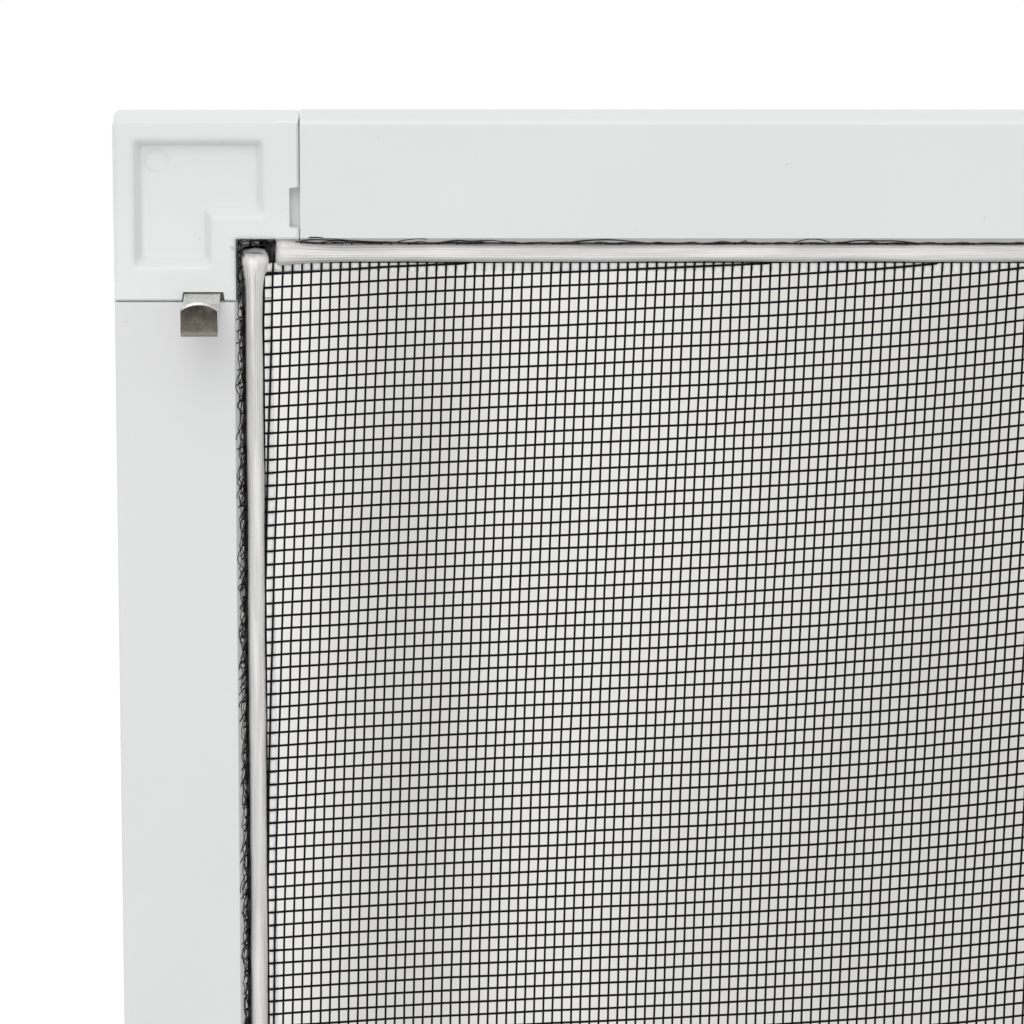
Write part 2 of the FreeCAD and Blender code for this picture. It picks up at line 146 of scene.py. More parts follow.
class ScreenFinishSettings(bpy.types.PropertyGroup):
    coat: bpy.props.FloatVectorProperty(
        name="Powder coat", description="Colour of the coated profiles", subtype="COLOR", size=3,
        default=(0.775, 0.785, 0.78), min=0, max=1
    )
    moulding: bpy.props.FloatVectorProperty(
        name="Moulding", description="Colour of the moulded corners", subtype="COLOR", size=3,
        default=(0.81, 0.822, 0.822), min=0, max=1
    )
    vinyl: bpy.props.FloatVectorProperty(
        name="Vinyl", description="Colour of the splines", subtype="COLOR", size=3,
        default=(0.84, 0.83, 0.815), min=0, max=1
    )
    thread: bpy.props.FloatVectorProperty(
        name="Thread", description="Colour of the woven mesh", subtype="COLOR", size=3,
        default=(0.0035, 0.0035, 0.004), min=0, max=1
    )
    tarnish: bpy.props.FloatVectorProperty(
        name="Tarnish", description="Colour of the hooks' dark tabs", subtype="COLOR", size=3,
        default=(0.15, 0.135, 0.112), min=0, max=1
    )
    steel: bpy.props.FloatVectorProperty(
        name="Steel", description="Colour of the hooks", subtype="COLOR", size=3,
        default=(0.74, 0.74, 0.72), min=0, max=1
    )


class ScreenStageSettings(bpy.types.PropertyGroup):
    ambient: bpy.props.FloatProperty(
        name="Ambient", description="Strength of the even light all round", default=0.675
    )
    overhead: bpy.props.FloatProperty(
        name="Overhead", description="How much stronger the even light is from above", default=0.15
    )
    key: bpy.props.FloatProperty(name="Key", description="Power of the key lamp", default=9.5, unit="POWER")
    card_gap: bpy.props.FloatProperty(
        name="Card gap", description="From the frame's back to the backing card",
        default=0.002, unit="LENGTH"
    )
    # The card's colour is painted shade: a white backing dimmed by the mesh's shadow
    card: bpy.props.FloatVectorProperty(
        name="Card", description="Colour of the card behind the mesh", subtype="COLOR", size=3,
        default=(0.745, 0.74, 0.715), min=0, max=1
    )
    lens: bpy.props.FloatProperty(
        name="Lens", description="Focal length of the camera in millimetres", default=266.16
    )


class Value:
    """One socket of a node tree that can be used in sums."""

    def __init__(self, graph, socket):
        self.graph = graph
        self.socket = socket

    def math(self, operation, other=0.0, clamp=False):
        settings = {"operation": operation, "use_clamp": clamp}
        return self.graph.add("ShaderNodeMath", settings, {0: self, 1: other})

    def __add__(self, other):
        return self.math("ADD", other)

    def __sub__(self, other):
        return self.math("SUBTRACT", other)

    def __mul__(self, other):
        return self.math("MULTIPLY", other)

    def __rsub__(self, other):
        return self.math("MULTIPLY", -1.0).math("ADD", other)

    __radd__ = __add__
    __rmul__ = __mul__

    def above(self, low, high):
        """0 below low, 1 above high, smooth between."""
        settings = {"interpolation_type": "SMOOTHSTEP"}
        return self.graph.add(
            "ShaderNodeMapRange", settings, {"Value": self, "From Min": low, "From Max": high}
        )


class Graph:
    """A material's or world's node tree, with one method that adds any node."""

    def __init__(self, owner):
        owner.use_nodes = True
        self.tree = owner.node_tree
        self.tree.nodes.clear()

    def add(self, kind, settings=None, inputs=None, output=0):
        node = self.tree.nodes.new(kind)
        for key, setting in (settings or {}).items():
            setattr(node, key, setting)
        for key, amount in (inputs or {}).items():
            socket = node.inputs[key]
            if isinstance(amount, Value):
                self.tree.links.new(amount.socket, socket)
            else:
                socket.default_value = amount
        return Value(self, node.outputs[output]) if node.outputs else None

    def coords(self):
        """Object coordinates in metres."""
        return self.add("ShaderNodeTexCoord", output="Object")

    def axis(self, vector, index):
        """One part of a vector: 0 across, 1 back, 2 up."""
        return self.add("ShaderNodeSeparateXYZ", inputs={0: vector}, output=index)

    def place(self, scale=(1, 1, 1)):
        """Object coordinates stretched by a scale along each axis."""
        return self.add("ShaderNodeVectorMath", {"operation": "MULTIPLY"}, {0: self.coords(), 1: scale})

    def from_edges(self):
        """Distances from the nearer upright and the nearer level outer edge of the screen."""
        coords = self.coords()
        across = self.axis(coords, 0)
        height = self.axis(coords, 2)
        return WIDTH / 2 - across.math("ABSOLUTE"), HEIGHT / 2 - (height - HEIGHT / 2).math("ABSOLUTE")

    def noise(self, place, scale, detail=2.0, rough=0.5):
        inputs = {"Vector": place, "Scale": scale, "Detail": detail, "Roughness": rough}
        return self.add("ShaderNodeTexNoise", inputs=inputs)

    def blend(self, factor, low, high, how="MIX"):
        """A colour between two, each a colour or a socket, or the first times the second."""
        inputs = {0: factor, 6: wide(low), 7: wide(high)}
        return self.add("ShaderNodeMix", {"data_type": "RGBA", "blend_type": how}, inputs, output=2)

    def bump(self, height, strength, distance, normal=None):
        inputs = {"Strength": strength, "Distance": distance, "Height": height}
        if normal is not None:
            inputs["Normal"] = normal
        return self.add("ShaderNodeBump", inputs=inputs)

    def surface(self, **inputs):
        """Ends the tree in a Principled shader, whose sockets are named in small letters."""
        named = {}
        for key, amount in inputs.items():
            title = key.replace("_", " ").title()
            named[title.replace("Ior", "IOR")] = amount
        shader = self.add("ShaderNodeBsdfPrincipled", inputs=named)
        self.add("ShaderNodeOutputMaterial", inputs={"Surface": shader})


def wide(colour):
    """A three-number colour with alpha, or a socket as it is."""
    return colour if isinstance(colour, Value) else (*colour, 1.0)


def shade(colour, share):
    """A colour made darker or lighter by a share."""
    return tuple(min(BRIGHTEST, share * part) for part in colour)


def new_graph(name):
    material = bpy.data.materials.new(name)
    return material, Graph(material)


# Where the finishes and their painted light and shade change, from start to end, in metres from the outer
# edges
LIP_ZONE = (GROOVE_INNER - 0.0003, GROOVE_INNER)
SLOPE_ZONE = (FACE_EDGE, FACE_EDGE + 0.0002)
WALL_ZONE = (0.0019, 0.0025)
PAINTED_SHADE_FADE_ZONE = (0.006, 0.0215)
SEAM_ZONE = (0.0235, 0.0245)
SLOT_ZONE = (0.0245, 0.025)

# The same on a hook, up or down from the screen's middle
BEND_ZONE = (0.4711, 0.4719)
TIP_ZONE = (0.4716, 0.4756)

# The same in depth from the screen's middle: a slot's floor with painted light, the painted highlight along
# the top of a hook's bend, the web
SLOT_DEPTHS = (-0.0037, -0.0034)
RIM_DEPTHS = (-0.01792, -0.0178)
WEB_DEPTHS = (-0.0173, -0.0169)

# Softened edges of the mouldings
EDGE_RADIUS = 0.0013
EDGE_SAMPLES = 8

# Marks on a spline's points, all painted shade: in its flutes and on one side up to about 2, and more than
# that in its slits
SLIT_MARK = 3.0
SLIT_ZONE = (2.0, 2.8)


def coat_material(colour):
    """White powder coat: orange peel, faint clouds, a few dust specks, painted shade on the slope, painted
    light on the lip.
    """
    material, graph = new_graph("white_powder_coat")
    place = graph.place()
    clouds = graph.noise(place, scale=22.0, detail=3.0)
    peel = graph.noise(place, scale=1500.0)
    dust = graph.noise(place, scale=900.0, detail=1.0).above(0.8, 0.84)
    inset, drop = graph.from_edges()
    nearest = inset.math("MINIMUM", drop)
    lip = nearest.above(*LIP_ZONE)
    # Painted shade on the slope beside the groove, mottled by the clouds
    slope = nearest.above(*SLOPE_ZONE) * (1 - lip)
    tone = graph.blend(clouds, shade(colour, 0.965), shade(colour, 1.03))
    painted_shade_toned = graph.blend(slope * (0.5 + 0.5 * clouds), tone, shade(colour, 0.68))
    # Painted light lifts the lip, which lies in the shade of the spline and the threads
    coat_painted_lip_light = graph.blend(lip, painted_shade_toned, shade(colour, 1.22))
    graph.surface(
        base_color=graph.blend(dust * 0.35, coat_painted_lip_light, shade(colour, 0.45)),
        roughness=0.36 + 0.14 * graph.noise(place, scale=260.0),
        normal=graph.bump(peel, strength=0.18, distance=0.00004),
    )
    return material


def moulding_material(colour):
    """White moulded plastic: soft edges, flow marks, a satin skin, rare specks, painted shade near the
    level edges and on the recess walls, painted light on the lip and in the slots.
    """
    material, graph = new_graph("white_moulding")
    place = graph.place()
    flow = graph.noise(place, scale=90.0)
    skin = graph.noise(place, scale=2600.0)
    speck = graph.noise(place, scale=700.0, detail=1.0).above(0.77, 0.8)
    inset, drop = graph.from_edges()
    nearest = inset.math("MINIMUM", drop)
    farthest = inset.math("MAXIMUM", drop)
    # Painted shade: darker near the screen's top or bottom edge, lighter towards the seam, mixed with the
    # random flow
    painted_shade_fades = drop.above(*PAINTED_SHADE_FADE_ZONE)
    tone = graph.blend(flow * 0.35 + painted_shade_fades * 0.65, shade(colour, 0.955), shade(colour, 1.06))
    rounded = graph.add("ShaderNodeBevel", {"samples": EDGE_SAMPLES}, {"Radius": EDGE_RADIUS})
    facing = graph.axis(rounded, 1).math("ABSOLUTE")
    clear_of_seam = 1 - farthest.above(*SEAM_ZONE)
    # Painted shade on the recess walls, away from the seams
    painted_wall_shade = nearest.above(*WALL_ZONE) * clear_of_seam * (1 - facing.above(0.6, 0.98))
    # Painted light on the floors of the slots, which lie in shade
    slot = farthest.above(*SLOT_ZONE) * graph.axis(place, 1).above(*SLOT_DEPTHS) * facing.above(0.6, 0.9)
    # Painted light lifts the lip, as on the coat
    lip = nearest.above(*LIP_ZONE)
    painted_shade_toned = graph.blend(painted_wall_shade, tone, shade(colour, 0.95))
    slot_painted_light = graph.blend(slot, painted_shade_toned, shade(colour, 1.25))
    moulding_painted_lip_light = graph.blend(lip, slot_painted_light, shade(colour, 1.38))
    plain = graph.add("ShaderNodeNewGeometry", output="Normal")
    edges = graph.blend(clear_of_seam, plain, rounded)
    graph.surface(
        base_color=graph.blend(speck * 0.4, moulding_painted_lip_light, shade(colour, 0.4)),
        roughness=0.34 + 0.12 * graph.noise(place, scale=320.0),
        normal=graph.bump(flow * 0.8 + skin * 0.2, strength=0.25, distance=0.00012, normal=edges),
    )
    return material


def vinyl_material(name, colour, stretch):
    """Extruded vinyl: streaks and bands along its length, rubs, and painted shade: greyer flutes, a greyer
    side, dark slits in its ends.
    """
    material, graph = new_graph(name)
    along = graph.place(stretch)
    streaks = graph.noise(along, scale=1400.0, detail=3.0)
    bands = graph.noise(along, scale=420.0)
    rubs = graph.noise(graph.place(), scale=160.0, detail=3.0)
    groove = graph.add("ShaderNodeAttribute", {"attribute_name": "groove"}, output="Fac")
    tone = graph.blend(streaks.above(0.32, 0.7), shade(colour, 0.84), shade(colour, 1.1))
    banded = graph.blend(bands.above(0.42, 0.62) * 0.25, tone, shade(colour, 0.74))
    rubbed = graph.blend(rubs.above(0.5, 0.75) * 0.5, banded, (0.88, 0.87, 0.85))
    # Painted shade read from the groove attribute: flutes, one side of the bead, and darkest in the slits
    bead_painted_shade = graph.blend(groove * (0.25 + 0.55 * rubs), rubbed, shade(colour, 0.34))
    graph.surface(
        base_color=graph.blend(groove.above(*SLIT_ZONE), bead_painted_shade, shade(colour, 0.04)),
        roughness=0.38 + 0.2 * rubs,
        normal=graph.bump(streaks, strength=0.5, distance=0.0001),
        subsurface_weight=0.15,
        subsurface_scale=0.0008,
        subsurface_radius=(1.0, 0.95, 0.9),
    )
    return material


def thread_material(name, colour, shine, dust_and_glint):
    """Black coated thread, a little scuffed and dusty; on the loose threads the heavy dust also stands in
    for a painted glint.
    """
    material, graph = new_graph(name)
    dust = graph.noise(graph.place(), scale=420.0, detail=3.0)
    graph.surface(
        base_color=graph.blend(dust.above(0.44, 0.74), colour, shade(colour, dust_and_glint)),
        roughness=0.5 + 0.2 * dust,
        specular_ior_level=shine,
    )
    return material


def steel_material(colour, tarnish):
    """Stainless strip: bright where it lies level, a painted highlight along the top of the bend, lighter
    across the bend, tarnished on the tab and darker towards its tip, brushed.
    """
    material, graph = new_graph("hook_steel")
    coords = graph.coords()
    depth = graph.axis(coords, 1)
    height = graph.axis(coords, 2) - HEIGHT / 2
    outward = height.math("ABSOLUTE")
    facing = graph.add("ShaderNodeNewGeometry", output="Normal")
    upward = graph.axis(facing, 2) * height.math("SIGN")
    brushed = graph.noise(graph.place((1.0, 0.05, 0.12)), scale=5200.0, detail=3.0)
    stain = graph.noise(graph.place(), scale=420.0, detail=3.0)
    grain = graph.noise(graph.place(), scale=2400.0, detail=2.0, rough=0.7).above(0.4, 0.7)
    tab = graph.blend(outward.above(*TIP_ZONE), tarnish, shade(tarnish, 0.36))
    # Lighter across the bend
    bend_lightened = graph.blend(1 - outward.above(*BEND_ZONE), tab, shade(tarnish, 1.9))
    # A painted highlight along the top of the bend
    painted_rim_highlight = graph.blend(depth.above(*RIM_DEPTHS), bend_lightened, shade(colour, 1.3))
    bright = graph.blend(depth.above(*WEB_DEPTHS), painted_rim_highlight, colour)
    tone = graph.blend(upward.above(0.35, 0.75), bend_lightened, bright)
    grained = graph.blend(grain * 0.45, tone, (0.45, 0.44, 0.42), "MULTIPLY")
    graph.surface(
        base_color=graph.blend(stain.above(0.48, 0.72) * 0.4, grained, shade(tarnish, 1.7)),
        metallic=1.0,
        roughness=0.26 + 0.18 * brushed,
        normal=graph.bump(brushed, strength=0.3, distance=0.00004),
    )
    return material


def new_piece(name, points, faces, material):
    """A mesh piece that rides with the frame."""
    data = bpy.data.meshes.new(name)
    data.from_pydata(points.reshape(-1, 3).tolist(), [], faces)
    data.polygons.foreach_set("use_smooth", [True] * len(data.polygons))
    data.materials.append(material)
    data.validate()
    piece = bpy.data.objects.new(name, data)
    bpy.context.scene.collection.objects.link(piece)
    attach(piece, "root")
    return piece


def ring_turns(sides):
    """Angles of the points of a tube's ring."""
    return 2 * np.pi * (np.arange(sides) + 0.5) / sides


def tube_rings(paths, radius, sides, normal):
    """Rings round many paths of equal point count: paths is (count, points, 3)."""
    step = np.gradient(paths, axis=1)
    step /= np.linalg.norm(step, axis=2, keepdims=True)
    first = np.broadcast_to(np.asarray(normal, float), paths.shape)
    first = first - step * np.sum(first * step, axis=2, keepdims=True)
    first = first / np.linalg.norm(first, axis=2, keepdims=True)
    second = np.cross(step, first)
    turn = ring_turns(sides)
    ring = np.cos(turn)[:, None] * first[:, :, None, :] + np.sin(turn)[:, None] * second[:, :, None, :]
    return paths[:, :, None, :] + radius * ring


def tube_faces(count, length, sides, start):
    """Quads of the tubes and their end caps, as vertex numbers from start."""
    base = start + (np.arange(count) * length * sides)[:, None, None]
    along = (np.arange(length - 1) * sides)[None, :, None]
    here = np.arange(sides)[None, None, :]
    there = (np.arange(sides) + 1) % sides
    near = base + along
    far = near + sides
    quads = np.stack([near + here, near + there, far + there, far + here], axis=-1).reshape(-1, 4)
    ends = [
        (start + index * length * sides + offset + np.arange(sides)[::flip]).tolist()
        for index in range(count)
        for offset, flip in ((0, -1), ((length - 1) * sides, 1))
    ]
    return quads.tolist() + ends


class TubeSet:
    """Collects tubes for one mesh."""

    def __init__(self):
        self.points = []
        self.faces = []
        self.total = 0

    def add(self, paths, radius, sides, normal):
        paths = np.asarray(paths, float)
        rings = tube_rings(paths, radius, sides, normal)
        self.faces += tube_faces(paths.shape[0], paths.shape[1], sides, self.total)
        self.points.append(rings.reshape(-1, 3))
        self.total += rings.shape[0] * rings.shape[1] * sides

    def piece(self, name, material, slot):
        return new_piece(name, np.concatenate(self.points), self.faces, material)


def wander(powers, a, b):
    """Thread counts by which the sheet is pulled at a place, level beyond the close-up."""
    x = np.clip((a - SHEET_CENTRE[0]) / SHEET_SPAN, *WANDER_LIMITS[0])
    y = np.clip((b - SHEET_CENTRE[1]) / SHEET_SPAN, *WANDER_LIMITS[1])
    return sum(amount * x**i * y**j for (i, j), amount in powers.items())


# The waves of a ripple: shares of its size and length, and the range that each length is drawn from
RIPPLE_SHARES = (1.0, 0.55, 0.3)
RIPPLE_STRETCH = (0.8, 1.25)


def ripple(rng, along, count, size, length):
    """Smooth seeded waves, one row per thread."""
    total = np.zeros((count, len(along)))
    for share in RIPPLE_SHARES:
        phase = rng.uniform(0, 2 * np.pi, (count, 1))
        pitch = length * share * rng.uniform(*RIPPLE_STRETCH, (count, 1))
        total += size * share * np.sin(2 * np.pi * along[None, :] / pitch + phase)
    return total


def smooth_path(knots, count):
    """A Catmull-Rom path of count places through knots, each an (a, b, v)."""
    at = np.linspace(0, len(knots) - 1, count)
    padded = np.concatenate([2 * knots[:1] - knots[1:2], knots, 2 * knots[-1:] - knots[-2:-1]])
    base = np.clip(np.floor(at).astype(int), 0, len(knots) - 2)
    t = (at - base)[:, None]
    p0, p1, p2, p3 = (padded[base + k] for k in range(4))
    return 0.5 * (
        2 * p1 + (p2 - p0) * t + (2 * p0 - 5 * p1 + 4 * p2 - p3) * t**2 + (3 * p1 - p0 - 3 * p2 + p3) * t**3
    )


# The sheet's way round the groove: (distance from the outer edge, depth), from its cut edge to the field
FIELD_DEPTH = 0.00202
HEM = (
    (0.0184, 0.0008),
    (0.01903, 0.0018),
    (0.0191, 0.00465),
    (0.0217, 0.0047),
    (0.02195, 0.0026),
    (0.02225, 0.00205),
    (0.0235, FIELD_DEPTH),
)


def fold_table():
    """Distances across the flat sheet at the hem's bends, with their folded places."""
    hem = np.array(HEM)
    steps = np.linalg.norm(np.diff(hem, axis=0), axis=1)
    flat = hem[-1, 0] - np.concatenate([np.cumsum(steps[::-1])[::-1], [0.0]])
    return flat, hem[:, 0], hem[:, 1]


FLAT_BENDS, FOLD_INSET, FOLD_DEPTH = fold_table()


def folded(flat, length):
    """Where a distance across the flat sheet ends up: its place across and its depth."""
    near = np.minimum(flat, length - flat)
    moved = np.where(near < FLAT_BENDS[-1], np.interp(near, FLAT_BENDS, FOLD_INSET), near)
    return np.where(flat < length / 2, moved, length - moved), np.interp(near, FLAT_BENDS, FOLD_DEPTH)


# Threads in the close-up and beyond it: sides, distance between points up to the close-up, size of the sway
THREAD_KINDS = ((True, 6, 0.008, 0.000028), (False, 3, 0.025, 0.00001))
SWAY_LENGTH = 0.02

# Rise and fall of every thread: size and length of the waves
THREAD_LIFT = (0.00002, 0.03)

# Depths of the upright and level threads from the sheet's middle, and the range that all depths stay in
WARP_LAYER = -0.0001
WEFT_LAYER = 0.00008
DEPTH_RANGE = (0.0011, 0.0048)

# Threads start this far inside the hem's last bend, and beyond the close-up have few points and bends
HEM_CLEAR = 0.0015
FAR_STEP = 0.25
FAR_BENDS = (2, 3, 5, 6)

# The bend outside which no thread runs along the hem, threads tried beyond the sheet, rounds of pulling
LAST_BEND = 2
SPARE_THREADS = 10
PULL_ROUNDS = 3

# How far a thread's cut end strays, and how much shorter the upright threads are cut
END_STRAY = (-0.0006, 0.0005)
UPRIGHT_TRIM = 0.0004

# Threads along the level sides tucked down beside the spline: distances from the outer edge, extra depths
TUCK_INSET = (0.0212, 0.0215, 0.0219, 0.0221)
TUCK_DEPTH = (0.0, 0.0012, 0.0012, 0.0)


def thread_stations(length, bends, fine_to, fine, coarse):
    """Flat distances along a thread, hem to hem, close together up to fine_to."""
    start = FLAT_BENDS[-1] + HEM_CLEAR
    stop = length - start
    fine_to = max(start, fine_to)
    near = np.arange(start, fine_to, fine)
    far = np.linspace(fine_to, stop, int((stop - fine_to) / coarse) + 2)
    return np.concatenate([bends, near, far, length - bends[::-1]])


def thread_rows(settings, upright, along, close):
    """Flat distances across the sheet, one row for each thread that is close up or not."""
    pitch = settings.warp_pitch if upright else settings.weft_pitch
    across = WIDTH if upright else HEIGHT
    powers = WARP_WANDER if upright else WEFT_WANDER
    cut = FLAT_BENDS[LAST_BEND]
    rows = []
    for number in range(-SPARE_THREADS, int(across / pitch) + SPARE_THREADS + 2):
        nominal = pitch * (number + 0.5)
        row = np.full(len(along), nominal)
        for _ in range(PULL_ROUNDS):
            pulled = wander(powers, row, along) if upright else wander(powers, along, row)
            row = nominal - pitch * pulled
        inside = row.max() > cut and row.min() < across - cut
        if inside and (nominal < settings.close_up) == close:
            rows.append(np.clip(row, cut, across - cut))
    return np.array(rows)


def add_threads(tubes, settings, rng, upright):
    """All threads of one direction, the close-up ones finer."""
    across, length = (WIDTH, HEIGHT) if upright else (HEIGHT, WIDTH)
    outer, trim, layer = (1, UPRIGHT_TRIM, WARP_LAYER) if upright else (0, 0.0, WEFT_LAYER)
    for close, sides, step, sway in THREAD_KINDS:
        bends = FLAT_BENDS[outer:] if close else FLAT_BENDS[[outer, *FAR_BENDS]]
        along = thread_stations(length, bends, settings.close_up, step, FAR_STEP)
        rows = thread_rows(settings, upright, along, close)
        count = len(rows)
        rows = rows + ripple(rng, along, count, sway, SWAY_LENGTH)
        run = np.broadcast_to(along, rows.shape).copy()
        for end, sign in ((0, 1), (-1, -1)):
            run[:, end] += sign * (rng.uniform(*END_STRAY, count) + trim)
        first, first_depth = folded(rows, across)
        second, second_depth = folded(run, length)
        depth = first_depth + second_depth - FIELD_DEPTH + layer
        depth = depth + ripple(rng, along, count, *THREAD_LIFT)
        if not upright:
            from_edge = np.minimum(first, across - first)
            depth = depth + np.interp(from_edge, TUCK_INSET, TUCK_DEPTH)
        depth = np.clip(depth, *DEPTH_RANGE)
        places = np.stack([first, second, depth] if upright else [second, first, depth], axis=-1)
        normal = (1, 0, 0) if upright else (0, 0, 1)
        radius = settings.thread / np.ptp(np.cos(ring_turns(sides)))
        tubes.add(row_points(places), radius, sides, normal)


def groove_sides():
    """For each side of the frame: its length, and how (run, inset) becomes (a, b)."""
    return (
        (HEIGHT, lambda run, inset: (inset, run)),
        (WIDTH, lambda run, inset: (run, inset)),
        (HEIGHT, lambda run, inset: (WIDTH - inset, run)),
        (WIDTH, lambda run, inset: (run, HEIGHT - inset)),
    )


# Loose threads have few sides and are turned from the depth's axis
LOOSE_SIDES = 4
SHORT_SIDES = 3
DEPTH_AXIS = (0, 1, 0)

# Frayed threads up the groove's outer side: distance from the outer edge, depth, size and
# length of waves, thickness as a share. The level sides are frayed less than the upright ones.
UPRIGHT_FRAYS = (
    (0.01922, 0.0021, 0.00005, 0.006, 0.9),
    (0.01895, 0.0016, 0.00013, 0.0042, 0.6),
    (0.0187, 0.0013, 0.00013, 0.0037, 0.45),
    (0.0184, 0.0008, 0.00013, 0.0033, 0.45),
)
LEVEL_FRAYS = (
    (0.01912, 0.0019, 0.00005, 0.009, 0.6),
    (0.01898, 0.0017, 0.00008, 0.013, 0.45),
    (0.0189, 0.0015, 0.00012, 0.0055, 0.45),
)

# They end short of the groove's corner. A sway moves them more in depth than across, and near the corner
# the level ones lift.
FRAY_CLEAR = 0.008
FRAY_STEP = 0.0007
FRAY_FAR_POINTS = 120
FRAY_TILT = 1.3
FRAY_LIFT = 0.0004
FRAY_LIFT_FADE = 0.045

# Loops of thread that stand up out of the top groove, and a loose thread that lies on the mesh under it:
# places (a, b, v) in millimetres
LOOPS = (
    (
        (27.5, 19.0, 1.7), (28.1, 17.9, 0.4), (29.4, 17.65, 0.05),
        (32, 17.85, 0.2), (36, 18.4, 0.9), (43, 18.9, 1.6),
    ),
    (
        (27.7, 18.8, 1.2), (28.6, 18.2, 0.5), (31, 18.15, 0.5),
        (35, 18.5, 1.0), (39, 18.7, 1.3), (47, 19.0, 1.7),
    ),
    ((48, 18.9, 1.5), (50.5, 18.3, 0.7), (53, 18.5, 0.8), (56, 18.3, 0.8), (59, 18.9, 1.6)),
    ((67, 18.9, 1.5), (69.5, 18.35, 0.7), (73, 18.1, 0.4), (76, 18.4, 0.9), (79, 18.95, 1.6)),
    ((107, 18.95, 1.6), (110, 18.3, 0.7), (113, 18.35, 0.8), (116, 18.4, 0.9), (119, 19.0, 1.6)),
    ((22.5, 23.5, 1.95), (26, 23.42, 2.0), (30, 23.25, 2.0), (34, 23.05, 2.03), (38, 22.85, 2.08)),
)
LOOP_POINTS = 40
LOOP_THICKNESS = 0.85

# Slope beside the groove: distances from the outer edge, and depths at which a thread lies on it
SLOPE_INSET = (0.0177, 0.01885, 0.0193)
SLOPE_DEPTH = (-0.0001, 0.0014, 0.0021)


def add_frays(tubes, settings, rng):
    """Threads pulled loose from the sheet's cut edge, along every side, and the loops."""
    ends = GROOVE_OUTER + FRAY_CLEAR
    for length, lay in groove_sides():
        upright = length == HEIGHT
        near = np.arange(ends, settings.close_up, FRAY_STEP)
        run = np.concatenate([near, np.linspace(settings.close_up, length - ends, FRAY_FAR_POINTS)])
        lifted = 0.0 if upright else FRAY_LIFT * np.exp(-run / FRAY_LIFT_FADE)
        for inset, depth, loose, wave, share in UPRIGHT_FRAYS if upright else LEVEL_FRAYS:
            sway = ripple(rng, run, 1, loose, wave)[0] - lifted
            a, b = lay(run, inset + sway)
            path = np.stack([a, b, depth + FRAY_TILT * sway], axis=-1)
            tubes.add(row_points(path)[None], settings.thread / 2 * share, LOOSE_SIDES, DEPTH_AXIS)
    for loop in LOOPS:
        path = smooth_path(np.array(loop) / 1000, LOOP_POINTS)
        tubes.add(row_points(path)[None], settings.thread / 2 * LOOP_THICKNESS, LOOSE_SIDES, DEPTH_AXIS)


# Cut threads over the slope: how far from the groove's corner they end
CUT_CLEAR = 0.011

# Curled ones: share that is there by the side's length, pitch in weft threads, then their size and place
CURLS_KEPT = {HEIGHT: 0.85, WIDTH: 0.06}
CURL_PITCH = 0.75
CURL_POINTS = 7
CURL_SHARE = (0.4, 1.0)
CURL_LENGTH = 0.0018
CURL_LONGER = 0.009
CURL_FOOT = 0.0193
CURL_REACH = 0.0014
CURL_RANGE = (0.25, 1.05)
CURL_RISE = 0.0001
CURL_THICKNESS = 0.5

# Splayed ones, on the upright sides only, in the same terms
SPLAY_KEPT = 0.72
SPLAY_POINTS = 5
SPLAY_RUN = (-0.0004, 0.0026)
SPLAY_POWER = 0.8
SPLAY_FOOT = 0.0192
SPLAY_REACH = 0.0013
SPLAY_RANGE = (0.6, 1.0)
SPLAY_RISE = 0.00012
SPLAY_THICKNESS = 0.62


def cut_feet(rng, length, pitch, kept):
    """Places along a side where cut threads come out of the groove."""
    ends = GROOVE_OUTER + CUT_CLEAR
    feet = np.arange(ends, length - ends, pitch)
    return feet[rng.uniform(size=len(feet)) < kept][:, None]


def lay_on_slope(tubes, lay, run, inset, rise, radius):
    """Tubes along places given by their run and inset, standing off the slope by rise."""
    a, b = lay(run, inset)
    depth = np.interp(inset, SLOPE_INSET, SLOPE_DEPTH) - rise
    tubes.add(row_points(np.stack([a, b, depth], axis=-1)), radius, SHORT_SIDES, DEPTH_AXIS)


def add_cut_ends(tubes, settings, rng):
    """Curled and splayed ends of the cut threads that lie over the slope beside the groove."""
    for length, lay in groove_sides():
        foot = cut_feet(rng, length, settings.weft_pitch * CURL_PITCH, CURLS_KEPT[length])
        share = np.linspace(0, 1, CURL_POINTS) * rng.uniform(*CURL_SHARE, foot.shape)
        run = foot + (CURL_LENGTH + CURL_LONGER * rng.uniform(0, 1, foot.shape) ** 2) * share
        inset = CURL_FOOT - CURL_REACH * rng.uniform(*CURL_RANGE, foot.shape) * np.sin(np.pi * share)
        rise = CURL_RISE * rng.uniform(0, 1, foot.shape) * share
        lay_on_slope(tubes, lay, run, inset, rise, settings.thread / 2 * CURL_THICKNESS)
    splay = np.linspace(0, 1, SPLAY_POINTS)
    for length, lay in groove_sides()[::2]:
        foot = cut_feet(rng, length, settings.weft_pitch, SPLAY_KEPT)
        run = foot + rng.uniform(*SPLAY_RUN, foot.shape) * splay**SPLAY_POWER
        inset = SPLAY_FOOT - SPLAY_REACH * rng.uniform(*SPLAY_RANGE, foot.shape) * splay
        rise = SPLAY_RISE * np.sin(np.pi * splay)
        lay_on_slope(tubes, lay, run, inset, rise, settings.thread / 2 * SPLAY_THICKNESS)


# Strands at the sheet's bunched corner, beside the upright and the level spline: whether they run along
# the top and where they stop, then their number, the ranges that are drawn from, and their points
STRAND_RUNS = ((False, 0.0288), (True, 0.0229))
STRANDS = 4
STRAND_RANGE = (CORNER_ARM + 0.0002, CORNER_ARM + 0.0011)
STRAND_STEP = 0.0014
STRAND_OFFSET = (0, 0.0006)
STRAND_DEPTHS = (0.0004, 0.0022)
STRAND_THICKNESS = (0.5, 0.75)
STRAND_POINTS = 6
STRAND_NORMAL = (0.2, 0.9, 0.3)

